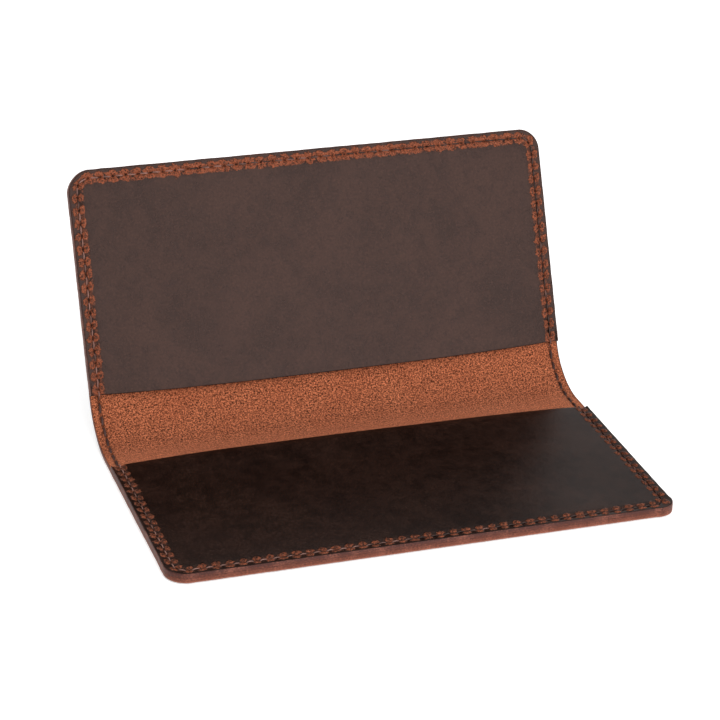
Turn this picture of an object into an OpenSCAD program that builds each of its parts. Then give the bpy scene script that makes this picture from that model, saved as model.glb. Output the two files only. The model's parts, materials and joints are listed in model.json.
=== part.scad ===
// A folded leather case: one cover, two pockets stitched onto it, and a wide bare spine.
// The lower half lies flat and the upper half leans back, half open.
// Origin: the middle of the lower half's underside. +X runs along the fold, +Y towards it, +Z up.
// The cover is one sheet that bends at the needle holes of the spine, so the spine is drawn as narrow
// strips, one stitch wide, each hinged to the next on the cover's inner face.

/* [Case] */
// Width of the case along the fold
case_w = 165; // [120:1:200]
// Depth of each pocket, from its stitched edge to its opening
pocket_d = 74; // [60:1:90]
// Radius of the four outer corners
corner_r = 7; // [5:0.5:12]

/* [Leather] */
// Thickness of the cover
cover_t = 1.7; // [1.4:0.1:2]
// Thickness of each pocket
pocket_t = 1.5; // [1.3:0.1:2]
// Height of the slot inside each pocket
slot_h = 0.4; // [0.2:0.1:0.6]

/* [Stitching] */
// Distance from one needle hole to the next
pitch = 4.2; // [3.6:0.1:5]
// Distance from the cut edge to the line of stitches
inset = 2.85; // [2.5:0.05:3.5]
// Thickness of the thread
thread_d = 0.5; // [0.3:0.05:0.5]

/* [Fold] */
// Bend of the spine's middle part, as the case stands
middle_bend = 40; // [0:1:60]
// Bend of the spine's upper part, as the case stands
upper_bend = 26; // [0:1:40]

/* [Hidden] */
$fn = 48;
// The bends at the eight hinge lines when the case is shut. They share out the bends at rest too.
shut_bend = [14, 22, 28, 31.1, 31.1, 28, 22, 14];
middle_share = shut_bend[2] + shut_bend[3] + shut_bend[4] + shut_bend[5];
upper_share = shut_bend[6] + shut_bend[7];
bends = len(shut_bend);
strips = bends - 1;
rest_bend = [for (k = [0 : bends - 1])
    k < 2 ? 0
    : k < 6 ? middle_bend * shut_bend[k] / middle_share
    : upper_bend * shut_bend[k] / upper_share];

// Gap between neighbouring strips of the cover at their hinge line
hinge_gap = 0.3;
// The cover runs on past the pocket by half a stitch, to the first needle hole of the spine
cover_d = pocket_d + pitch / 2;
// Width of the stitched border that the slot stops short of
border = 5.5;
// The channel that the thread lies in, and the room left round the thread
channel_w = 0.9;
channel_h = thread_d + 0.05;
thread_room = 0.025;
// Part of each pitch that shows as thread, between two needle holes
stitch_l = pitch - 0.5;
// Radius of the stitched line round a corner
stitch_r = corner_r - inset;
// Stitches along the side, round one corner and along the free edge of one half
side_l = cover_d - corner_r;
side_n = round(side_l / pitch);
corner_n = 2;
front_l = case_w - 2 * corner_r;
front_n = round(front_l / pitch);

LEATHER = [0.20, 0.13, 0.10];
SUEDE_SIDE = [0.62, 0.36, 0.25];
THREAD = [0.30, 0.15, 0.11];

// Slope of the leather after the first n bends
function slope(n) = n == 0 ? 0 : slope(n - 1) + rest_bend[n - 1];

// Place of hinge line n, from 1 to 8, in the Y-Z plane, on the cover's inner face
function hinge(n) = n == 1
    ? [pocket_d / 2 + pitch / 2, cover_t]
    : hinge(n - 1) + pitch * [cos(slope(n - 1)), sin(slope(n - 1))];

// Puts a piece drawn from hinge line n on along +Y into its place on the folded case
module after_hinge(n) {
    translate([0, hinge(n)[0], hinge(n)[1]])
        rotate([slope(n), 0, 0])
            children();
}

// Outline of one half: its free edge is at y = 0, with round corners, and it ends square at y = d.
// It is drawn smaller by s on its three stitched sides.
module half_outline(d, s = 0) {
    r = corner_r - s;
    w = case_w / 2 - s;
    translate([-w, corner_r])
        square([2 * w, d - corner_r]);
    translate([-(w - r), s])
        square([2 * (w - r), corner_r]);
    for (side = [-1, 1])
        translate([side * (w - r), corner_r])
            circle(r);
}

// The channel of the stitching: it follows the three outer sides of one half
module channel(d, z) {
    translate([0, 0, z])
        linear_extrude(channel_h + 1)
            difference() {
                half_outline(d + 1, inset - channel_w / 2);
                half_outline(d + 2, inset + channel_w / 2);
            }
}

// One half of the cover, lying flat with its outer face down
module cover_half() {
    difference() {
        linear_extrude(cover_t)
            half_outline(cover_d - hinge_gap / 2);
        channel(cover_d, -1);
    }
}

// One pocket, lying flat with its face up, and with its slot open towards the spine
module pocket() {
    difference() {
        linear_extrude(pocket_t)
            half_outline(pocket_d);
        channel(pocket_d, pocket_t - channel_h);
        translate([-(case_w / 2 - border), border, -1])
            cube([case_w - 2 * border, pocket_d, 1 + slot_h]);
    }
}

// One strip of the spine, from its first hinge line on along +Y, with its inner face at z = 0
module strip() {
    difference() {
        translate([-case_w / 2, hinge_gap / 2, -cover_t])
            cube([case_w, pitch - hinge_gap, cover_t]);
        for (side = [-1, 1], z = [-cover_t - 1, -channel_h])
            translate([side * (case_w / 2 - inset) - channel_w / 2, 0, z])
                cube([channel_w, pitch, channel_h + 1]);
    }
}

// One stitch lying along +Y, centred on the origin
module stitch() {
    rotate([90, 0, 0])
        cylinder(d = thread_d, h = stitch_l, center = true, $fn = 24);
}

// All the stitches on one face of one half, with the thread's centre at z = 0
module half_stitches() {
    for (side = [-1, 1]) {
        for (k = [0 : side_n - 1])
            translate([side * (case_w / 2 - inset), corner_r + (k + 0.5) * side_l / side_n, 0])
                stitch();
        translate([side * (case_w / 2 - corner_r), corner_r, 0])
            for (k = [0 : corner_n - 1])
                rotate([0, 0, (side > 0 ? -90 : 180) + (k + 0.5) * 90 / corner_n])
                    corner_stitch();
    }
    for (k = [0 : front_n - 1])
        translate([-front_l / 2 + (k + 0.5) * front_l / front_n, inset, 0])
            rotate([0, 0, 90])
                stitch();
}

// A stitch that follows the round corner, centred on the X axis, with the corner's centre at the origin
module corner_stitch() {
    turn = 90 / corner_n * stitch_l / pitch;
    rotate([0, 0, -turn / 2])
        rotate_extrude(angle = turn)
            translate([stitch_r, 0])
                circle(d = thread_d, $fn = 24);
}

// The two stitches of one strip on one face, with the thread's centre at z = 0
module strip_stitches() {
    for (side = [-1, 1])
        translate([side * (case_w / 2 - inset), pitch / 2, 0])
            stitch();
}

// The lower half is drawn from its free edge on along +Y
module lower_half() {
    translate([0, -pocket_d / 2, 0])
        children();
}

// The upper half is the same, turned end for end to hang from the last hinge line, outer face down
module upper_half() {
    after_hinge(bends)
        translate([0, cover_d, -cover_t])
            mirror([0, 1, 0])
                children();
}

needle_z = cover_t + pocket_t - thread_room - thread_d / 2;
bobbin_z = thread_room + thread_d / 2;

module lower_cover() color(SUEDE_SIDE) lower_half() cover_half();
module upper_cover() color(SUEDE_SIDE) upper_half() cover_half();
module lower_pocket() color(LEATHER) lower_half() translate([0, 0, cover_t]) pocket();
module upper_pocket() color(LEATHER) upper_half() translate([0, 0, cover_t]) pocket();
module lower_needle_thread() color(THREAD) lower_half() translate([0, 0, needle_z]) half_stitches();
module lower_bobbin_thread() color(THREAD) lower_half() translate([0, 0, bobbin_z]) half_stitches();
module upper_needle_thread() color(THREAD) upper_half() translate([0, 0, needle_z]) half_stitches();
module upper_bobbin_thread() color(THREAD) upper_half() translate([0, 0, bobbin_z]) half_stitches();
module spine_strip(k) color(SUEDE_SIDE) after_hinge(k) strip();
module spine_needle_thread(k)
    color(THREAD) after_hinge(k) translate([0, 0, -thread_room - thread_d / 2]) strip_stitches();
module spine_bobbin_thread(k)
    color(THREAD) after_hinge(k) translate([0, 0, bobbin_z - cover_t]) strip_stitches();

lower_cover();
upper_cover();
lower_pocket();
upper_pocket();
lower_needle_thread();
lower_bobbin_thread();
upper_needle_thread();
upper_bobbin_thread();
for (k = [1 : strips]) {
    spine_strip(k);
    spine_needle_thread(k);
    spine_bobbin_thread(k);
}
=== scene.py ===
# A folded leather case: two waxed pull-up leather pockets on one cover, and a bare suede spine.
# The leather is drawn flat, in millimetres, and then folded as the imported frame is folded.
import json
import math

import bmesh
import bpy
import numpy as np
from mathutils import Matrix, Vector
from mathutils.geometry import delaunay_2d_cdt


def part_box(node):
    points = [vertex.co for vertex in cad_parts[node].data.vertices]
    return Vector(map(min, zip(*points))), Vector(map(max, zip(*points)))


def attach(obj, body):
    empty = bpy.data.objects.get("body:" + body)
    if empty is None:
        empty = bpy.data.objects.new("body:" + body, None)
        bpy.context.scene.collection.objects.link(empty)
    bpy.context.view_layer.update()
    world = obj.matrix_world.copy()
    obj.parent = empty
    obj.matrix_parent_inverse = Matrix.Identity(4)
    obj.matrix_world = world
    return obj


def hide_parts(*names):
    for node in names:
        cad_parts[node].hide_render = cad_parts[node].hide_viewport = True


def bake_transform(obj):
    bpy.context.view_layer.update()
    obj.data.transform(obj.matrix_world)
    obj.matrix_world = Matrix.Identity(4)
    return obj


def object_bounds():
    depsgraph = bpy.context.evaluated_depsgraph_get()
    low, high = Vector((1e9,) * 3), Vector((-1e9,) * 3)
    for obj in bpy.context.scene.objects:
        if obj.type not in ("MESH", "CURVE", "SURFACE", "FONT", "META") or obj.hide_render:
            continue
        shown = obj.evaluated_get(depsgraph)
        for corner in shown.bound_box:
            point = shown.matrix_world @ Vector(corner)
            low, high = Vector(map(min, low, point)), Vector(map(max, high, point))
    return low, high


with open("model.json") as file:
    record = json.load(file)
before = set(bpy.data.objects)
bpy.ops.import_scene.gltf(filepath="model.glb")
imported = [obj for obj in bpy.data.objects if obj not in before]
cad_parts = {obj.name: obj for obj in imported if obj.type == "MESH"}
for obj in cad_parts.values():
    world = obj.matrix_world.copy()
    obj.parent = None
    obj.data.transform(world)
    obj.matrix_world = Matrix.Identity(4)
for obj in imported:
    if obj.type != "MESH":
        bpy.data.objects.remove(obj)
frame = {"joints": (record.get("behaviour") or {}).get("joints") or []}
CAD_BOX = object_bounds()
MM = 0.001

# ---------------------------------------------------------------- sizes, from the frame


def size_mm(node):
    """The three sides of a CAD node's box, in mm."""
    lo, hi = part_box(node)
    return [(b - a) / MM for a, b in zip(lo, hi)]


JOINTS = sorted(frame["joints"], key=lambda j: j["name"])
HINGES = [(j["pos_m"][1] / MM, j["pos_m"][2] / MM) for j in JOINTS]
BENDS = [math.radians(-j["range_deg"][0]) for j in JOINTS]  # the bends at rest, from lying flat
PITCH = math.dist(HINGES[0], HINGES[1])  # one stitch
HALF_W = size_mm("lower_cover")[0] / 2
POCKET_D = size_mm("lower_pocket")[1]
COVER_T = size_mm("lower_cover")[2]
POCKET_T = size_mm("lower_pocket")[2]
SPINE_L = PITCH * len(HINGES)
TOTAL_L = 2 * POCKET_D + SPINE_L
FRONT_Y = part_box("lower_pocket")[0][1] / MM  # where the flat length starts
CORNER_R = 7.0
INSET = 2.85  # from the cut edge to the stitches
THREAD_R = 0.22  # of the stitches on the pockets and the outside
SPINE_THREAD_R = 0.40  # these aren't pressed into a seam
UNDER_ROWS = 4  # rows of a cut edge's profile that lie on its underside
OVERLAP = 1.0  # how far the spine's skin runs under the pockets

BODIES = ["lower_half"] + [f"spine_{k}" for k in range(1, len(HINGES))] + ["upper_half"]

# ---------------------------------------------------------------- the fold


def fold_start():
    """Places and slopes of the inner face where each bend starts, and after the last one."""
    y, z, slope = FRONT_Y + POCKET_D, COVER_T, 0.0
    rows = [(y, z, slope)]
    for bend in BENDS:
        half = PITCH / 2
        y += half * (math.cos(slope) + math.cos(slope + bend))
        z += half * (math.sin(slope) + math.sin(slope + bend))
        slope += bend
        rows.append((y, z, slope))
    return rows


CELLS = fold_start()


def fold(x, s, h):
    """Points of the flat leather in the row frame: x across, s along from the lower free edge, h above the
    cover's inner face. Each bend is an arc from the middle of one strip to the middle of the next."""
    s, h = np.broadcast_arrays(np.asarray(s, float), np.asarray(h, float))
    t = (s - POCKET_D) / PITCH
    cell = np.clip(np.floor(t), -1, len(BENDS)).astype(int)
    y, z, slope = np.empty_like(s), np.empty_like(s), np.empty_like(s)
    for k in range(-1, len(BENDS) + 1):
        m = cell == k
        if not m.any():
            continue
        y0, z0, a0 = CELLS[max(k, 0)]
        bend = BENDS[k] if 0 <= k < len(BENDS) else 0.0
        along = (t[m] - max(k, 0)) * PITCH
        if bend < 1e-6:
            y[m] = y0 + along * math.cos(a0)
            z[m] = z0 + along * math.sin(a0)
            slope[m] = a0
        else:
            radius = PITCH / 2 / math.tan(bend / 2)
            a = a0 + bend * along / PITCH
            y[m] = y0 + radius * (np.sin(a) - math.sin(a0))
            z[m] = z0 + radius * (math.cos(a0) - np.cos(a))
            slope[m] = a
    points = np.stack([np.broadcast_to(x, s.shape), y - h * np.sin(slope), z + h * np.cos(slope)], -1)
    return points * MM


# ---------------------------------------------------------------- noise


def lattice(ix, iy, seed):
    """A fixed random number from 0 to 1 for each whole-number place."""
    n = (ix.astype(np.int64) * 73856093) ^ (iy.astype(np.int64) * 19349663) ^ (seed * 83492791)
    n = ((n ^ (n >> 13)) & 0x7FFFFFFF) * 1274126177
    n = n ^ (n >> 16)
    return (n & 0xFFFF) / 65535.0


def noise(x, y, size, seed):
    """Smooth noise from 0 to 1, with features of about the given size."""
    x, y = np.asarray(x, float) / size, np.asarray(y, float) / size
    ix, iy = np.floor(x), np.floor(y)
    fx, fy = x - ix, y - iy
    fx, fy = fx * fx * (3 - 2 * fx), fy * fy * (3 - 2 * fy)
    a = lattice(ix, iy, seed) * (1 - fx) + lattice(ix + 1, iy, seed) * fx
    b = lattice(ix, iy + 1, seed) * (1 - fx) + lattice(ix + 1, iy + 1, seed) * fx
    return a * (1 - fy) + b * fy


def smooth(a, b, t):
    """0 at a and 1 at b, with a soft start and end."""
    t = np.clip((np.asarray(t, float) - a) / (b - a), 0, 1)
    return t * t * (3 - 2 * t)


# ---------------------------------------------------------------- the seam

SIDE_END = POCKET_D + PITCH / 2  # the first hinge line, where a needle hole is
SIDE_L = SIDE_END - CORNER_R
ARC_R = CORNER_R - INSET
ARC_L = ARC_R * math.pi / 2
FRONT_L = 2 * (HALF_W - CORNER_R)
SEAM_L = 2 * SIDE_L + 2 * ARC_L + FRONT_L
STEP = SEAM_L / round(SEAM_L / PITCH)
# how the needle has pushed the leather up, by face: a lump's length and width, its height, the width of the
# lightened band, and how strong that band is along the free edge and along the sides
LOWER_FACE = {"seed": 5, "long": 1.38, "wide": 0.95, "high": 0.42, "spread": 1.8,
              "band": 0.16, "side_band": 0.22,
              "strength": 0.72}
UPPER_FACE = {"seed": 6, "long": 1.42, "wide": 0.98, "high": 0.42, "spread": 1.95,
              "band": 1.00, "side_band": 0.30,
              "strength": 1.0}
BACK = {"seed": 17, "long": 1.30, "wide": 0.70, "high": 0.20, "spread": 1.2, "band": 0.06, "side_band": 0.06,
        "strength": 0.8}
LEAN = 0.18  # the awl's slits lean along the seam


def seam_place(x, d):
    """Place along the seam, and distance inwards from the cut edge, of a point d from the free edge."""
    side = np.abs(x)
    cx, cd = side - (HALF_W - CORNER_R), CORNER_R - d
    corner = (cx > 0) & (cd > 0)
    on_side = HALF_W - side < d
    v = np.where(corner, CORNER_R - np.hypot(cx, cd), np.where(on_side, HALF_W - side, d))
    arc = SIDE_L + ARC_R * np.arctan2(np.maximum(cd, 1e-9), np.maximum(cx, 1e-9))
    front = SIDE_L + ARC_L + FRONT_L / 2 - side
    u = np.where(corner, arc, np.where(on_side, SIDE_END - d, front))
    return np.where(x > 0, SEAM_L - u, u), v


def seam_point(u):
    """The point on the stitch line at a place along the seam, as (x, distance from the free edge)."""
    right = u > SEAM_L / 2
    u = np.where(right, SEAM_L - u, u)
    a = np.clip((u - SIDE_L) / ARC_R, 0, math.pi / 2)
    x = -(HALF_W - CORNER_R) - ARC_R * np.cos(a) + np.maximum(u - SIDE_L - ARC_L, 0)
    d = CORNER_R - ARC_R * np.sin(a) + np.maximum(SIDE_L - u, 0)
    return np.where(right, -x, x), d


def seam_relief(x, d, style):
    """Height and lightening of the leather where the needle has pushed it up on both sides of each hole."""
    u, v = seam_place(x, d)
    dv = v - INSET
    i = np.round(u / STEP)
    du = u - i * STEP
    wob = lattice(i, i * 0 + 3, style["seed"]) - 0.5
    wob2 = lattice(i, i * 0 + 7, style["seed"]) - 0.5
    odd = lattice(i, np.where(dv > 0, 14, 4), style["seed"]) - 0.5
    along = (du - 0.25 * wob - LEAN * dv) / (style["long"] * (1 + 0.22 * wob2))
    across = (np.abs(dv) - style["wide"] - 0.08 - 0.10 * odd) / (style["wide"] * (1 + 0.25 * odd))
    grain = noise(x, d, 0.55, 11) - 0.5
    fine = noise(x, d, 0.3, 12) - 0.5
    r = np.sqrt(along**2 + across**2) + 0.50 * grain + 0.35 * fine
    lump = smooth(1.15, 0.25, r)
    slit = np.exp(-((dv / 0.30) ** 2)) * smooth(2.1, 1.3, np.abs(du))
    pit = np.exp(-(du * du + dv * dv) / 0.16)
    press = 0.30 * np.exp(-((dv / 1.4) ** 2))
    height = style["high"] * lump * (1 + 0.5 * grain) - 0.10 * slit - 0.40 * pit - press
    ring = smooth(1.15, 0.80, r) * (1 - 0.65 * smooth(0.62, 0.25, r))
    reach = np.abs(dv - 0.25) + 0.8 * (noise(x, d, 1.1, 22) - 0.5)
    band = smooth(style["spread"], 0.7 * style["spread"], reach)
    band = band * smooth(0.10, 0.55, noise(x, d, 0.7, 21))
    front = smooth(CORNER_R, 1.0, d) * smooth(HALF_W - 2.0, HALF_W - CORNER_R, np.abs(x))
    amount = style["side_band"] + (style["band"] - style["side_band"]) * front
    pull = np.clip(np.maximum(ring, amount * band), 0, 1)
    pull = pull * (1 - (0.50 - 0.35 * amount) * slit) * (1 - 0.8 * pit)
    return height, pull * style["strength"]


def rail(end, ends_fine, step):
    """Points on the cut edge from one end of the seam round to the other, with their inward directions, as
    rows of x, d, inward x and inward d. ends_fine are the first places, from the end inwards."""
    straight = list(ends_fine)
    n = round((straight[-1] - CORNER_R) / step)
    straight += list(np.linspace(straight[-1], CORNER_R, n + 1)[1:])
    left = [(-HALF_W, d, 1.0, 0.0) for d in straight]
    n = round(CORNER_R * math.pi / 2 / step)
    for a in np.linspace(0, math.pi / 2, n + 1)[1:]:
        c, s = math.cos(a), math.sin(a)
        left.append((-HALF_W + CORNER_R * (1 - c), CORNER_R * (1 - s), c, s))
    n = round(FRONT_L / step / 2)
    left += [(x, 0.0, 0.0, 1.0) for x in np.linspace(-FRONT_L / 2, 0, n + 1)[1:]]
    right = [(-x, d, -nx, nd) for x, d, nx, nd in reversed(left[:-1])]
    return np.array(left + right)


# ---------------------------------------------------------------- meshes


class Leather:
    """A mesh drawn on the flat leather and folded when made. Each point has a value: on the grain side it
    lightens pushed-up leather and places painted glints, on the flesh side it places painted shade.
    """

    def __init__(self, upper=False):
        self.upper = upper
        self.points, self.faces, self.kinds = [], [], []
        self.count = 0

    def add(self, x, d, h, pull=0.0):
        arrays = np.broadcast_arrays(*[np.asarray(v, float) for v in (x, d, h, pull)])
        x, d, h, pull = arrays
        s = TOTAL_L - d if self.upper else d
        first = self.count
        self.points.append(np.stack([x.ravel(), s.ravel(), h.ravel(), pull.ravel()], -1))
        self.count += x.size
        return np.arange(first, first + x.size).reshape(x.shape)

    def grid(self, ids, kind):
        """Quads between the rows and columns of ids."""
        quads = np.stack([ids[:-1, :-1], ids[1:, :-1], ids[1:, 1:], ids[:-1, 1:]], -1).reshape(-1, 4)
        self.faces += quads.tolist()
        self.kinds += [kind] * len(quads)

    def patch(self, corners, kind):
        self.faces.append([int(c) for c in corners])
        self.kinds.append(kind)

    def thin_out(self, fine, coarse, every, kind):
        """Faces between a fine row and a coarse row, which has a point at every few of the fine one's."""
        for k in range(len(coarse) - 1):
            part = fine[k * every : (k + 1) * every + 1]
            self.patch(list(part) + [coarse[k + 1], coarse[k]], kind)

    def fill(self, ring, inner, kind):
        """Triangles over a flat outline of points and the points inside it."""
        flat = np.concatenate(self.points)
        ids = list(ring) + list(inner)
        places = [Vector((flat[i, 0], flat[i, 1])) for i in ids]
        edges = [(k, (k + 1) % len(ring)) for k in range(len(ring))]
        _, _, faces, origin, _, _ = delaunay_2d_cdt(places, edges, [], 1, 1e-5)
        for f in faces:
            self.patch([ids[origin[k][0]] for k in f], kind)

    def make(self, name, materials):
        flat = np.concatenate(self.points)
        mesh = bpy.data.meshes.new(name)
        mesh.from_pydata(fold(flat[:, 0], flat[:, 1], flat[:, 2]).tolist(), [], self.faces)
        for m in materials:
            mesh.materials.append(m)
        mesh.polygons.foreach_set("material_index", np.array(self.kinds, np.int32))
        mesh.polygons.foreach_set("use_smooth", np.ones(len(self.faces), bool))
        place = mesh.attributes.new("flat_place", "FLOAT_VECTOR", "POINT")
        place.data.foreach_set("vector", flat[:, :3].astype(np.float32).ravel())
        pull = mesh.attributes.new("pull", "FLOAT", "POINT")
        pull.data.foreach_set("value", flat[:, 3].astype(np.float32))
        bm = bmesh.new()
        bm.from_mesh(mesh)
        bmesh.ops.remove_doubles(bm, verts=bm.verts, dist=1e-6)
        bmesh.ops.recalc_face_normals(bm, faces=bm.faces)
        for e in bm.edges:
            kinds = {f.material_index for f in e.link_faces}
            if CAP in kinds and len(kinds) > 1:
                e.smooth = False
        for f in bm.faces:
            if f.material_index == CAP:
                f.material_index = FLESH
                f.smooth = False
        bm.to_mesh(mesh)
        bm.free()
        mesh.update()
        piece = bpy.data.objects.new(name, mesh)
        bpy.context.scene.collection.objects.link(piece)
        return piece


GRAIN, CUT, FLESH, CAP = 0, 1, 2, 3
FINE = 0.2  # mesh step along the seams
EVERY = 8  # fine steps to one coarse step
BAND_V = 5.3  # where the fine border ends
FILL_V = 6.3  # where the plain middle starts


# how far the hand-cut corners stand outside (or inside) the common radius: (upper half, right side)
CORNER_CUT = {(False, True): 0.85, (True, False): -0.45}


def trim_corners(x, d, edge, v, upper):
    """Moves the cut edge at the corners that were cut fuller or rounder than the rest."""
    right, left = CORNER_CUT.get((upper, True), 0.0), CORNER_CUT.get((upper, False), 0.0)
    amount = np.where(edge[:, 0] > 0, right, left)
    out = amount * 2 * np.abs(edge[:, 2]) * edge[:, 3] * smooth(2.6, 0.2, v)
    return x - edge[:, 2] * out, d - edge[:, 3] * out


def border_profile(low, high, bottom_round, top_round):
    """(distance inwards, height) up the cut edge from below, with softened corners."""
    rows = []
    for v, h in [(1.0, 0.0), (0.42, 0.04), (0.12, 0.28), (0.0, 0.75)]:
        rows.append((v * bottom_round, low + h * bottom_round))
    n = 3
    lo, hi = low + 0.75 * bottom_round, high - 0.75 * top_round
    rows += [(0.0, lo + (hi - lo) * k / n) for k in range(1, n)]
    for v, h in [(0.0, 0.75), (0.12, 0.28), (0.42, 0.04), (1.0, 0.0)]:
        rows.append((v * top_round, high - h * top_round))
    return rows


def middle_points(half_x, d_rows, step):
    """A plain grid of points over the middle of a panel."""
    n = round(2 * half_x / step)
    xs = np.linspace(-half_x, half_x, n + 1)
    return np.meshgrid(xs, d_rows)


# ---------------------------------------------------------------- the pockets

SLOT = 0.4
LIP = 0.30  # rounding of the pocket's opening edge


def pocket_warp(x, d, h):
    """The opening edge stands a little open and bows towards the spine between its stitched ends."""
    bow = -0.25 + 1.30 * (1 - np.minimum(np.abs(x) / 79, 1) ** 3)
    lift = 0.50 * (1 - np.minimum(np.abs(x) / 77, 1) ** 4)
    return d + bow * smooth(45, POCKET_D, d), h + lift * smooth(56, POCKET_D, d)


def pocket_under(x, d):
    """The slot under the pocket's leather, near its opening."""
    side = smooth(HALF_W - 5.5, HALF_W - 10, np.abs(x))
    return SLOT * side * smooth(30, 50, d)


def pocket(name, upper, seed):
    """One pocket: its stitched sides, its face and its lifted opening edge."""
    skin = Leather(upper)
    end = POCKET_D - LIP
    edge = rail(end, [end], FINE)
    n_cols = (len(edge) - 1) // EVERY * EVERY
    keep = np.round(np.linspace(0, len(edge) - 1, n_cols + 1)).astype(int)
    edge = edge[keep]
    profile = border_profile(0.0, POCKET_T, 0.10, 0.45)
    n_wall = len(profile)
    profile += [(v, POCKET_T) for v in np.arange(0.65, BAND_V, 0.2)]
    v = np.array([p[0] for p in profile])[:, None]
    h = np.array([p[1] for p in profile])[:, None]
    x, d = edge[:, 0] + edge[:, 2] * v, edge[:, 1] + edge[:, 3] * v
    relief, pull = seam_relief(x, d, UPPER_FACE if upper else LOWER_FACE)
    top = np.zeros_like(v)
    top[n_wall - 4 :] = smooth(0.0, 0.8, v[n_wall - 4 :])
    u, _ = seam_place(x, d)
    waves = 0.10 * (noise(u, 0 * u, 3.0, 31 + seed) - 0.5) + 0.05 * (noise(u, h * 3, 0.6, 32 + seed) - 0.5)
    wall = np.clip(1 - v / 0.6, 0, 1)
    x = x - edge[:, 2] * waves * wall
    d = d - edge[:, 3] * waves * wall * (d < POCKET_D - 1)
    x, d = trim_corners(x, d, edge, v, upper)
    inwards = HALF_W - np.abs(x)
    tack = np.exp(-(((d - 73.3) / 0.45) ** 2)) * smooth(5.4, 3.8, inwards) * smooth(0.8, 1.6, inwards)
    pull = np.clip(pull * top + 0.9 * tack * top, 0, 1)
    undulate = 0.30 * (noise(x, d, 26, 41 + seed) - 0.5) * smooth(4.5, 12, v)
    pinch = 0.40 * smooth(8.0, 0.5, POCKET_D - d) * smooth(5.2, 1.0, v) * top
    dd, hh = pocket_warp(x, d, h + top * relief + undulate - pinch)
    ids = skin.add(x, dd, hh, pull)
    skin.grid(ids[: n_wall - 1], CUT)
    skin.grid(ids[n_wall - 2 :], GRAIN)

    def inner(v0, fn):
        ex, ed = edge[::EVERY, 0] + edge[::EVERY, 2] * v0, edge[::EVERY, 1] + edge[::EVERY, 3] * v0
        return fn(ex, ed)

    def top_at(x, d):
        und = 0.30 * (noise(x, d, 26, 41 + seed) - 0.5) * smooth(4.5, 12, seam_place(x, d)[1])
        dd, hh = pocket_warp(x, d, POCKET_T + und)
        return skin.add(x, dd, hh)

    def low_at(x, d):
        dd, hh = pocket_warp(x, d, 0.0)
        return skin.add(x, dd, hh * smooth(0, 1, pocket_under(x, d) / SLOT) + pocket_under(x, d))

    n_mid = 60
    xs = np.linspace(-HALF_W + FILL_V, HALF_W - FILL_V, n_mid + 1)[1:-1]
    gx, gd = middle_points(HALF_W - FILL_V - 2.0, np.arange(FILL_V + 2.0, end - 1.0, 2.4), 2.6)
    loops = []
    for fn, row, kind in ((top_at, ids[-1], GRAIN), (low_at, ids[0], FLESH)):
        coarse = inner(FILL_V, fn)
        skin.thin_out(row, coarse, EVERY, kind)
        mouth = fn(xs, np.full_like(xs, end))
        skin.fill(list(coarse) + list(mouth[::-1]), list(fn(gx.ravel(), gd.ravel())), kind)
        loops.append([coarse[0]] + list(mouth) + [coarse[-1]])
    over, under = loops
    left, right = list(ids[:, 0]), list(ids[:, -1])
    loop = np.array(left + over + right[::-1] + under[::-1])
    rows = [loop]
    flat = np.concatenate(skin.points)[loop]
    fd = TOTAL_L - flat[:, 1] if upper else flat[:, 1]
    upward = np.where(np.arange(len(loop)) < len(left) + len(over) + len(right), 1.0, -1.0)
    turned = len(left) + len(over) + len(right)
    upward[:UNDER_ROWS] = -1
    upward[turned - UNDER_ROWS : turned] = -1
    for out, shrink in ((0.72, 0.10), (1.0, 0.34)):
        rows.append(skin.add(flat[:, 0], fd + out * LIP, flat[:, 2] - upward * shrink * LIP, flat[:, 3]))
    lip = np.array(rows)
    closed = np.concatenate([lip, lip[:, :1]], 1)
    skin.grid(closed, GRAIN)
    last = list(rows[-1])
    a, b, c = len(left), len(left) + len(over), len(left) + len(over) + len(right)
    t, u = last[a:b], last[c:][::-1]
    skin.patch(last[:a] + [t[0], u[0]], GRAIN)
    skin.patch(last[b:c] + [u[-1], t[-1]], GRAIN)
    for k in range(len(t) - 1):
        skin.patch([t[k], t[k + 1], u[k + 1], u[k]], GRAIN)
    return skin.make(name, [MATERIALS["pocket"], MATERIALS["edge"], MATERIALS["suede"]])


# ---------------------------------------------------------------- the cover

CELL_ROWS = 14  # mesh steps along each bend


def nap(x, s):
    """Height of the bare flesh side: coarse fibres, soft creases, and the spine stitches' groove."""
    v = HALF_W - np.abs(x)
    near = s - SIDE_END - PITCH * np.round((s - SIDE_END) / PITCH)
    groove = np.exp(-(((v - INSET) / 0.45) ** 2))
    pit = np.exp(-(near**2 + (v - INSET) ** 2) / 0.16)
    fibre = 0.18 * (noise(x, s, 0.72, 51) - 0.5) + 0.12 * (noise(x * 0.9 + s * 0.3, s, 0.42, 52) - 0.5)
    crease = 0.16 * (noise(x, s, 7.0, 53) - 0.5) + 0.10 * (noise(x * 0.25, s, 1.6, 54) - 0.5)
    edge = 1 - 0.7 * smooth(0.9, 0.1, v)
    return (fibre + crease) * edge - 0.26 * groove - 0.5 * pit - 0.10 * smooth(1.1, 0.0, v)


def outer_relief(x, s):
    """Height and lightening of the outside, where the bobbin thread runs."""
    d = np.minimum(s, TOTAL_L - s)
    relief, pull = seam_relief(x, d, BACK)
    return -relief, pull


def cover_cross(skin, s_rows, x_fine):
    """The inner face over the given rows, as a grid of ids, with its end columns on the cut edges."""
    x, s = np.meshgrid(x_fine, s_rows)
    v = HALF_W - np.abs(x)
    h = nap(x, s) - 0.12 * smooth(0.35, 0.0, v)
    # painted shade in the spine stitches' groove, and darker along the cut edge
    groove_shade_and_dark_edge = 0.75 * np.exp(-(((v - INSET) / 0.65) ** 2)) + 0.45 * smooth(0.5, 0.0, v)
    return skin.add(x, TOTAL_L - s if skin.upper else s, h, groove_shade_and_dark_edge)


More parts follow.
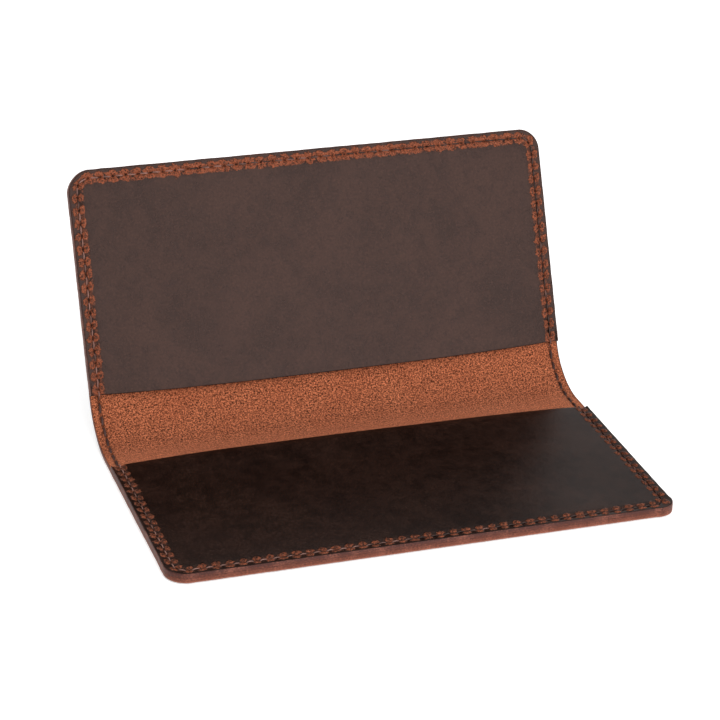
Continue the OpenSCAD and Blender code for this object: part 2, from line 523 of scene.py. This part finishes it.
def inner_xs():
    """The columns of the spine's inner face, closer together at the cut edges."""
    middle = np.linspace(-HALF_W + 0.45, HALF_W - 0.45, round((2 * HALF_W - 0.9) / 0.36) + 1)
    return np.concatenate([[-HALF_W + 0.04, -HALF_W + 0.15], middle, [HALF_W - 0.15, HALF_W - 0.04]])


def cover_half(name, upper, seed):
    """One half of the cover, with the first bend of the spine beside it."""
    skin = Leather(upper)
    end = POCKET_D + PITCH
    fine_rows = list(np.linspace(end, POCKET_D - OVERLAP, CELL_ROWS + 4))
    edge = rail(end, fine_rows, FINE)
    while (len(edge) - 1) % EVERY:
        mid = len(fine_rows) + 3
        drop = [mid, len(edge) - 1 - mid] if (len(edge) - 1) % 2 == 0 else [mid]
        edge = np.delete(edge, drop[: (len(edge) - 1) % EVERY], 0)
    profile = border_profile(-COVER_T, 0.0, 0.40, 0.10)
    outer = [(v, -COVER_T) for v in np.arange(0.6, BAND_V, 0.2)][::-1]
    profile = outer + profile
    v = np.array([p[0] for p in profile])[:, None]
    h = np.array([p[1] for p in profile])[:, None]
    x, d = edge[:, 0] + edge[:, 2] * v, edge[:, 1] + edge[:, 3] * v
    s = TOTAL_L - d if upper else d
    relief, pull = outer_relief(x, s)
    low = np.zeros_like(v)
    under = len(outer) + UNDER_ROWS
    low[:under] = smooth(0.0, 0.8, v[:under])
    u, _ = seam_place(x, d)
    waves = 0.10 * (noise(u, 0 * u, 3.0, 31 + seed) - 0.5) + 0.05 * (noise(u, h * 3, 0.6, 62 + seed) - 0.5)
    wall = np.clip(1 - v / 0.6, 0, 1)
    x = x - edge[:, 2] * waves * wall * (d < POCKET_D - 1.2)
    d = d - edge[:, 3] * waves * wall * (d < POCKET_D - 1.2)
    x, d = trim_corners(x, d, edge, v, upper)
    ids = skin.add(x, d, h + low * relief, pull * low)
    skin.grid(ids[: len(outer) + 2], GRAIN)
    skin.grid(ids[len(outer) + 1 :], CUT)
    # the outside's plain middle
    ex, ed = edge[::EVERY, 0] + edge[::EVERY, 2] * FILL_V, edge[::EVERY, 1] + edge[::EVERY, 3] * FILL_V
    coarse = skin.add(ex, ed, -COVER_T)
    skin.thin_out(ids[0], coarse, EVERY, GRAIN)
    xs = np.linspace(-HALF_W + FILL_V, HALF_W - FILL_V, 61)[1:-1]
    mouth = skin.add(xs, np.full_like(xs, end), -COVER_T)
    rows = list(np.arange(FILL_V + 2.0, POCKET_D - 1.0, 2.6)) + list(np.linspace(POCKET_D, end, 8)[:-1])
    gx, gd = middle_points(HALF_W - FILL_V - 2.0, rows, 2.6)
    skin.fill(list(coarse) + list(mouth[::-1]), list(skin.add(gx.ravel(), gd.ravel(), -COVER_T)), GRAIN)
    # the inside: bare beside the spine, plain under the pocket
    n = len(fine_rows)
    bare_d = np.array(fine_rows)
    xs_in = inner_xs()
    s_rows = TOTAL_L - bare_d if upper else bare_d
    inner = cover_cross(skin, s_rows, xs_in)
    skin.grid(inner, FLESH)
    skin.grid(np.stack([ids[-1, :n], inner[:, 0]]), FLESH)
    skin.grid(np.stack([ids[-1, -n:][::-1], inner[:, -1]]), FLESH)
    skin.patch(list(ids[-1, n - 1 : len(edge) - n + 1]) + list(inner[-1][::-1]), FLESH)
    # the end, inside the leather
    cap_outer = list(ids[:, 0][::-1]) + [coarse[0]] + list(mouth) + [coarse[-1]] + list(ids[:, -1])
    skin.patch(cap_outer + list(inner[0][::-1]), CAP)
    return skin.make(name, [MATERIALS["cover"], MATERIALS["edge"], MATERIALS["suede"]])


def spine_part(name, s0, s1):
    """One bend of the spine: a loop of points round the leather, swept along it."""
    skin = Leather()
    s_rows = np.linspace(s0, s1, CELL_ROWS + 1)
    xs = inner_xs()
    inner = cover_cross(skin, s_rows, xs)
    profile = border_profile(-COVER_T, 0.0, 0.40, 0.10)
    outer_v = [v for v in np.arange(0.6, BAND_V, 0.2)]
    plain = list(np.linspace(-HALF_W + FILL_V, HALF_W - FILL_V, 61))
    xs_out = np.array([-HALF_W + v for v in outer_v] + plain
                      + [HALF_W - v for v in outer_v[::-1]])
    x, s = np.meshgrid(xs_out, s_rows)
    relief, pull = outer_relief(x, s)
    low = smooth(0.0, 0.8, HALF_W - np.abs(x)) * smooth(FILL_V, BAND_V, HALF_W - np.abs(x))
    outer = skin.add(x, s, -COVER_T + low * relief, pull * low)
    walls = []
    for sign in (-1, 1):
        x, s = np.meshgrid([sign * (HALF_W - v) for v, h in profile], s_rows)
        h = np.broadcast_to([h for v, h in profile], x.shape)
        relief, pull = outer_relief(x, s)
        low = np.where(np.arange(len(profile)) < UNDER_ROWS, smooth(0.0, 0.8, HALF_W - np.abs(x)), 0.0)
        walls.append(skin.add(x, s, h + low * relief, pull * low))
    left, right = walls
    skin.grid(outer, GRAIN)
    for wall, col_out, col_in in ((left, outer[:, 0], inner[:, 0]), (right, outer[:, -1], inner[:, -1])):
        skin.grid(np.stack([col_out, wall[:, 0]], 1), GRAIN)
        skin.grid(wall[:, :2], GRAIN)
        skin.grid(wall[:, 1:], CUT)
        skin.grid(np.stack([wall[:, -1], col_in], 1), FLESH)
    skin.grid(inner, FLESH)
    for r in (0, -1):
        loop = list(outer[r]) + list(right[r]) + list(inner[r][::-1]) + list(left[r][::-1])
        skin.patch(loop, CAP)
    return skin.make(name, [MATERIALS["cover"], MATERIALS["edge"], MATERIALS["suede"]])


# ---------------------------------------------------------------- the thread

PLIES = 3
PLY_TURN = 2.3  # length of one turn of the twist


def thread(skin, centre, side, radius, around=12):
    """A twisted thread along the points (x, d, h), with side the direction across it in the leather."""
    gone = np.concatenate([[0], np.cumsum(np.linalg.norm(np.diff(centre, axis=0), axis=1))])
    a = np.linspace(0, 2 * math.pi, around + 1)[:-1]
    twist = 2 * math.pi * gone[:, None] / PLY_TURN
    r = radius * (0.88 + 0.16 * np.abs(np.cos(PLIES / 2 * (a - twist))))
    taper = np.minimum(1, np.minimum(gone, gone[-1] - gone) / 0.25 + 0.35)[:, None]
    r = r * taper
    x = centre[:, :1] + r * np.cos(a) * side[:, :1]
    d = centre[:, 1:2] + r * np.cos(a) * side[:, 1:2]
    h = centre[:, 2:3] + r * np.sin(a)
    ids = skin.add(x, d, h, gone[:, None] / gone[-1])
    skin.grid(np.concatenate([ids, ids[:, :1]], 1), 0)
    skin.patch(ids[0], 0)
    skin.patch(ids[-1][::-1], 0)


SLANT = 0.22  # how far each stitch leans across the line, as hand stitches do


def arch(t, fullness):
    """From 0 at a needle hole to 1 over the middle of the stitch."""
    return np.sin(math.pi * t) ** fullness


def panel_thread(name, upper, face, seed):
    """The stitches round one half: on the pocket, or on the outside of the cover."""
    skin = Leather(upper)
    count = round(SEAM_L / STEP)
    for i in range(count):
        t = np.linspace(0.04, 0.96, 21)
        u = (i + t) * STEP
        slack = lattice(np.array(i), np.array(seed), 71) - 0.5
        x, d = seam_point(u)
        x2, d2 = seam_point(u + 0.01)
        side = np.stack([-(d2 - d), x2 - x], -1)
        side /= np.linalg.norm(side, axis=1)[:, None]
        sway = 0.10 * slack * np.sin(math.pi * t) + SLANT * (t - 0.5)
        x, d = x + sway * side[:, 0], d + sway * side[:, 1]
        up = arch(t, 1.2)
        if face == "pocket":
            ends = smooth(POCKET_D + 1.6, POCKET_D - 0.1, d)
            h = POCKET_T * ends - 1.05 + (0.90 + 0.10 * slack) * up + 0.25 * (1 - ends) * up
        else:
            h = -COVER_T + 0.77 - 0.62 * up
        thread(skin, np.stack([x, d, h], -1), side, THREAD_R)
    return skin.make(name, [MATERIALS["thread"]])


def spine_thread(name, k, face, seed):
    """The two stitches on strip k of the spine, one at each edge."""
    skin = Leather()
    for sign in (-1, 1):
        t = np.linspace(0.10, 0.90, 21)
        slack = lattice(np.array(k * 2 + sign), np.array(seed), 72) - 0.5
        s = SIDE_END + PITCH * (k - 1 + t)
        x = np.full_like(t, sign * (HALF_W - INSET)) + 0.10 * slack * np.sin(math.pi * t)
        x = x + 1.4 * SLANT * (t - 0.5)
        up = arch(t, 0.9)
        if face == "inside":
            h = -1.00 + (1.06 + 0.1 * slack) * up
        else:
            h = -COVER_T + 0.62 - 0.30 * up
        thread(skin, np.stack([x, s, h], -1), np.tile([1.0, 0.0], (len(t), 1)), SPINE_THREAD_R)
    return skin.make(name, [MATERIALS["spine_thread"]])


# ---------------------------------------------------------------- materials


class Nodes:
    """Short names for the shader nodes that the materials share."""

    def __init__(self, name):
        self.material = bpy.data.materials.new(name)
        self.material.use_nodes = True
        self.tree = self.material.node_tree
        self.bsdf = self.tree.nodes["Principled BSDF"]
        self.place = self.attribute("flat_place").outputs["Vector"]

    def new(self, kind, **settings):
        node = self.tree.nodes.new(kind)
        for key, value in settings.items():
            setattr(node, key, value)
        return node

    def link(self, a, b):
        self.tree.links.new(a, b)

    def put(self, value, socket):
        if isinstance(value, bpy.types.NodeSocket):
            self.link(value, socket)
        elif socket.type == "RGBA":
            socket.default_value = (*value, 1.0)
        else:
            socket.default_value = value

    def attribute(self, name):
        return self.new("ShaderNodeAttribute", attribute_name=name)

    def noise(self, scale, detail=3.0, rough=0.55, stretch=(1, 1, 1), warp=0.0):
        """Noise on the flat leather. The scale is in features per millimetre."""
        mapping = self.new("ShaderNodeMapping")
        mapping.inputs["Scale"].default_value = stretch
        self.link(self.place, mapping.inputs["Vector"])
        node = self.new("ShaderNodeTexNoise")
        node.inputs["Scale"].default_value = scale
        node.inputs["Detail"].default_value = detail
        node.inputs["Roughness"].default_value = rough
        node.inputs["Distortion"].default_value = warp
        self.link(mapping.outputs["Vector"], node.inputs["Vector"])
        return node.outputs["Fac"]

    def cells(self, scale, feature="F1", stretch=(1, 1, 1)):
        mapping = self.new("ShaderNodeMapping")
        mapping.inputs["Scale"].default_value = stretch
        self.link(self.place, mapping.inputs["Vector"])
        node = self.new("ShaderNodeTexVoronoi", feature=feature)
        node.inputs["Scale"].default_value = scale
        self.link(mapping.outputs["Vector"], node.inputs["Vector"])
        return node.outputs["Distance"]

    def span(self, value, a, b, c=0.0, d=1.0, clamp=True):
        """The value, moved from the range a-b to c-d."""
        node = self.new("ShaderNodeMapRange", clamp=clamp)
        for key, number in zip(("Value", "From Min", "From Max", "To Min", "To Max"), (value, a, b, c, d)):
            self.put(number, node.inputs[key])
        return node.outputs["Result"]

    def maths(self, operation, a, b):
        node = self.new("ShaderNodeMath", operation=operation)
        self.put(a, node.inputs[0])
        self.put(b, node.inputs[1])
        return node.outputs[0]

    def mix(self, amount, a, b):
        node = self.new("ShaderNodeMix", data_type="RGBA")
        self.put(amount, node.inputs["Factor"])
        self.put(a, node.inputs[6])
        self.put(b, node.inputs[7])
        return node.outputs[2]

    def part(self, index):
        """One coordinate of the place on the flat leather: 0 across, 1 along, 2 height."""
        node = self.new("ShaderNodeSeparateXYZ")
        self.link(self.place, node.inputs[0])
        return node.outputs[index]

    def bump(self, height, distance, strength=1.0):
        node = self.new("ShaderNodeBump")
        node.inputs["Strength"].default_value = strength
        node.inputs["Distance"].default_value = distance * MM
        self.link(height, node.inputs["Height"])
        self.link(node.outputs["Normal"], self.bsdf.inputs["Normal"])

    def finish(self, colour, roughness, **fixed):
        self.put(colour, self.bsdf.inputs["Base Color"])
        self.put(roughness, self.bsdf.inputs["Roughness"])
        for key, value in fixed.items():
            self.put(value, self.bsdf.inputs[key.replace("_", " ")])
        return self.material


def grain_leather(name, dark, light, pulled, painted_glint, shine):
    """Waxed pull-up leather: dark where it lies flat, lighter and speckled where it is pushed up, with
    glints painted on it there.
    """
    n = Nodes(name)
    clouds = n.noise(0.030, 4, 0.6, warp=0.8)
    mottle = n.noise(0.22, 5, 0.7, warp=0.5)
    specks = n.noise(1.3, 4, 0.75)
    colour = n.mix(n.span(clouds, 0.32, 0.68), dark, light)
    colour = n.mix(n.span(mottle, 0.46, 0.66, 0, 0.70), colour, light)
    colour = n.mix(n.span(mottle, 0.50, 0.34, 0, 0.70), colour, dark)
    colour = n.mix(n.span(specks, 0.54, 0.70, 0, 0.55), colour, tuple(2.0 * c for c in light))
    colour = n.mix(n.span(specks, 0.48, 0.36, 0, 0.65), colour, dark)
    pull = n.attribute("pull").outputs["Fac"]
    broken = n.noise(2.2, 4, 0.75, warp=0.3)
    ragged = n.maths("MULTIPLY", pull, n.span(broken, 0.40, 0.58, 0.10, 1.35, clamp=False))
    colour = n.mix(n.span(ragged, 0.08, 0.85), colour, pulled)
    # painted highlight: bright glints painted on the pushed-up leather
    painted_glint_mask = n.maths("MULTIPLY", pull, n.span(n.noise(2.6, 3, 0.7), 0.55, 0.70))
    colour = n.mix(n.span(painted_glint_mask, 0.2, 0.9, 0, 0.75), colour, painted_glint)
    height = n.maths("ADD", n.maths("MULTIPLY", n.cells(2.4, "SMOOTH_F1"), 0.5), n.noise(5.0, 4, 0.6))
    height = n.maths("ADD", height, n.maths("MULTIPLY", n.noise(0.9, 4, 0.7), 1.2))
    n.bump(n.maths("ADD", height, n.maths("MULTIPLY", ragged, 1.2)), 0.05)
    rough = n.span(n.maths("ADD", n.maths("MULTIPLY", mottle, 0.6), pull), 0.2, 1.4, shine, shine + 0.30)
    return n.finish(colour, rough, Specular_Tint=(1.0, 0.72, 0.66), Specular_IOR_Level=0.29)


def suede(name):
    """The flesh side: short fibres in clumps, with each clump's light and shade by its lie painted into its
    colour.
    """
    n = Nodes(name)
    clump = n.noise(1.9, 5, 0.75, warp=0.5)
    fine = n.noise(4.6, 4, 0.7)
    wide = n.noise(0.08, 3, 0.5)
    both = n.maths("ADD", n.maths("MULTIPLY", clump, 0.7), n.maths("MULTIPLY", fine, 0.3))
    # painted light and shade: clumps coloured from dark to light by their lie
    colour = n.mix(n.span(both, 0.45, 0.57), (0.054, 0.0140, 0.0060), (0.66, 0.236, 0.117))
    colour = n.mix(n.span(wide, 0.3, 0.7, 0.0, 0.22), colour, (0.27, 0.070, 0.030))
    # painted light: the suede is lightened beside the lower pocket, fading out over 12 mm along the spine
    colour = n.mix(n.span(n.part(1), SIDE_END, SIDE_END + 12, 0.34, 0.0), colour, (0.80, 0.300, 0.155))
    # painted shade in the stitch groove, and darker along the cut edge, broken up by the clumps
    groove_shade_and_dark_edge = n.maths("MULTIPLY", n.attribute("pull").outputs["Fac"], n.span(clump, 0.35, 0.65, 1.2, 0.5))
    colour = n.mix(groove_shade_and_dark_edge, colour, (0.045, 0.013, 0.007))
    n.bump(both, 0.40)
    return n.finish(colour, 0.95, Sheen_Weight=0.04, Sheen_Roughness=0.5, Specular_IOR_Level=0.15)


def cut_edge(name):
    """The burnished cut edge: darker at the grain, more orange below, with fine fibres across it, painted
    shade where the layers meet and a painted highlight along the bottom of the cover's edge.
    """
    n = Nodes(name)
    h = n.part(2)
    fibres = n.noise(1.5, 5, 0.75, stretch=(1, 1, 2.0))
    patches = n.noise(0.15, 3, 0.6)
    colour = n.mix(n.span(h, -0.6, 1.1), (0.205, 0.060, 0.032), (0.092, 0.028, 0.021))
    colour = n.mix(n.span(fibres, 0.40, 0.60, 0.75, 0.0), colour, (0.035, 0.012, 0.008))
    flecks = n.span(n.maths("MULTIPLY", patches, fibres), 0.24, 0.38, 0, 0.6)
    colour = n.mix(flecks, colour, (0.30, 0.110, 0.070))
    # painted highlight: lighter along the bottom of the cover's edge, where its rounding catches the light
    colour = n.mix(n.span(h, -1.0, -1.5, 0, 0.6), colour, (0.38, 0.150, 0.095))
    # painted shade: darker along the line where the two layers meet, in the small groove between them
    seam = n.maths("ABSOLUTE", h, 0.0)
    colour = n.mix(n.span(seam, 0.03, 0.14, 0.35, 0.0), colour, (0.030, 0.010, 0.007))
    n.bump(fibres, 0.14)
    return n.finish(colour, n.span(fibres, 0.3, 0.7, 0.38, 0.60), Specular_IOR_Level=0.3)


def waxed_thread(name, dark, pale, gloss):
    """Brown thread with pale patches of painted highlight, more of them towards the left, by the amount
    pale.
    """
    n = Nodes(name)
    fuzz = n.noise(6.0, 3, 0.6)
    # painted highlights: pale patches, more towards the left
    patches = n.maths("ADD", n.noise(0.09, 2, 0.5), n.span(n.part(0), -60, 40, 0.12, -0.12))
    colour = n.mix(n.span(patches, 0.45, 0.62, 0, pale), dark, (0.34, 0.180, 0.145))
    colour = n.mix(n.span(fuzz, 0.4, 0.7, 0, 0.4), colour, tuple(0.5 * c for c in dark))
    n.bump(fuzz, 0.04)
    return n.finish(colour, n.span(fuzz, 0.3, 0.7, gloss, gloss + 0.15))


MATERIALS = {
    "pocket": grain_leather("pull_up_leather", (0.0055, 0.0019, 0.0010), (0.0290, 0.0138, 0.0095),
                            (0.300, 0.094, 0.046), (0.66, 0.29, 0.185), 0.20),
    "cover": grain_leather("cover_leather", (0.0070, 0.0024, 0.0013), (0.0280, 0.0125, 0.0083),
                           (0.200, 0.052, 0.022), (0.42, 0.15, 0.085), 0.24),
    "edge": cut_edge("burnished_edge"),
    "suede": suede("bare_flesh_side"),
    "thread": waxed_thread("waxed_thread", (0.034, 0.014, 0.010), 0.85, 0.35),
    "spine_thread": waxed_thread("dark_thread", (0.046, 0.015, 0.010), 0.12, 0.48),
}


# ---------------------------------------------------------------- assembly


def flat_to_row(s, h=0.0):
    """The place on the folded case of a point on the flat leather's middle line."""
    return tuple(float(c) for c in fold(0.0, s, h).reshape(3))


def place_on(piece, body, slot, *nodes):
    """Sets a piece on the body it rides on and hides the nodes it replaces. The slot is not used."""
    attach(piece, body)
    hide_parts(*nodes)


def bend_across(piece, k, slot, *nodes):
    """The piece takes in hinge k, counted from 1, between the middles of the strips on both sides of it. Its
    transform is baked into its mesh, and the nodes it replaces are hidden.
    """
    start, end = POCKET_D + PITCH * (k - 1), POCKET_D + PITCH * k
    flat_to_row(start)
    flat_to_row(end)
    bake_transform(piece)
    if nodes:
        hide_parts(*nodes)


def assemble():
    """Makes all the pieces, sets the pockets and stitches on the bodies they ride on, and hides the nodes
    the pieces replace.
    """
    last = len(HINGES)
    place_on(pocket("lower_pocket_leather", False, 0), BODIES[0], "pocket_leather", "lower_pocket")
    place_on(pocket("upper_pocket_leather", True, 1), BODIES[-1], "pocket_leather", "upper_pocket")
    bend_across(cover_half("lower_cover_leather", False, 0), 1, "cover_leather", "lower_cover")
    for k in range(2, last):
        s0 = POCKET_D + PITCH * (k - 1)
        nodes = ["spine_strip_1", "spine_strip_2"] if k == 2 else [f"spine_strip_{k}"]
        bend_across(spine_part(f"spine_leather_{k}", s0, s0 + PITCH), k, "spine_suede", *nodes)
    bend_across(cover_half("upper_cover_leather", True, 1), last, "cover_leather", "upper_cover")
    for half, upper, body in (("lower", False, BODIES[0]), ("upper", True, BODIES[-1])):
        for face, seed in (("needle", 1), ("bobbin", 2)):
            where = "pocket" if face == "needle" else "outside"
            piece = panel_thread(f"{half}_{face}_stitches", upper, where, seed + 4 * upper)
            place_on(piece, body, "thread", f"{half}_{face}_thread")
    for k in range(1, last):
        for face, where in (("needle", "inside"), ("bobbin", "outside")):
            piece = spine_thread(f"spine_{face}_stitches_{k}", k, where, len(face))
            place_on(piece, BODIES[k], "thread", f"spine_{face}_thread_{k}")


# ---------------------------------------------------------------- the studio

SENSOR = 36.0
LENS = 132.6
CAM_AZ, CAM_EL, CAM_ROLL = math.radians(-18.97), math.radians(25.32), math.radians(1.62)
CAM_DISTANCE = 0.8224
AIM = (-0.01085, 0.0030, 0.0472)


def camera():
    """The camera, aimed at the case from the front left."""
    data = bpy.data.cameras.new("camera")
    data.sensor_width, data.lens = SENSOR, LENS
    data.clip_start, data.clip_end = 0.01, 20
    cam = bpy.data.objects.new("camera", data)
    bpy.context.scene.collection.objects.link(cam)
    level = math.cos(CAM_EL)
    back = Vector((math.sin(CAM_AZ) * level, -math.cos(CAM_AZ) * level, math.sin(CAM_EL)))
    right = Vector((math.cos(CAM_AZ), math.sin(CAM_AZ), 0))
    up = back.cross(right)
    c, s = math.cos(CAM_ROLL), math.sin(CAM_ROLL)
    r2, u2 = right * c + up * s, up * c - right * s
    turn = Matrix((r2, u2, back)).transposed().to_4x4()
    cam.matrix_world = Matrix.Translation(Vector(AIM) + back * CAM_DISTANCE) @ turn
    bpy.context.scene.camera = cam


def soft_light(name, place, aim, size, watts):
    """A round area light."""
    data = bpy.data.lights.new(name, "AREA")
    data.shape, data.size, data.energy = "DISK", size, watts
    lamp = bpy.data.objects.new(name, data)
    bpy.context.scene.collection.objects.link(lamp)
    lamp.location = place
    lamp.rotation_euler = (Vector(aim) - Vector(place)).to_track_quat("-Z", "Y").to_euler()


def studio():
    """A white floor and background, with three soft lights."""
    bm = bmesh.new()
    bmesh.ops.create_grid(bm, x_segments=1, y_segments=1, size=6)
    mesh = bpy.data.meshes.new("floor")
    bm.to_mesh(mesh)
    bm.free()
    floor = bpy.data.objects.new("floor", mesh)
    bpy.context.scene.collection.objects.link(floor)
    floor.location.z = CAD_BOX[0][2] - 0.0004
    paper = bpy.data.materials.new("white_paper")
    paper.use_nodes = True
    paper.node_tree.nodes["Principled BSDF"].inputs["Base Color"].default_value = (0.92, 0.92, 0.92, 1)
    paper.node_tree.nodes["Principled BSDF"].inputs["Roughness"].default_value = 0.9
    paper.node_tree.nodes["Principled BSDF"].inputs["Emission Color"].default_value = (1, 1, 1, 1)
    paper.node_tree.nodes["Principled BSDF"].inputs["Emission Strength"].default_value = 0.35
    floor.data.materials.append(paper)
    world = bpy.data.worlds.new("studio")
    world.use_nodes = True
    world.node_tree.nodes["Background"].inputs["Color"].default_value = (1, 1, 1, 1)
    world.node_tree.nodes["Background"].inputs["Strength"].default_value = 0.55
    bpy.context.scene.world = world
    grade = bpy.context.scene.view_settings
    grade.view_transform, grade.exposure, grade.gamma = "Standard", 0.25, 0.87
    soft_light("front", (0.36, -1.05, 0.46), (0, 0, 0.03), 1.5, 12.5)
    soft_light("centre", (0.33, -0.93, 0.45), (0, 0.08, 0.045), 0.50, 0.75)
    soft_light("above", (-0.5, -0.2, 1.4), (0, 0, 0.03), 0.8, 3)


assemble()
camera()
studio()
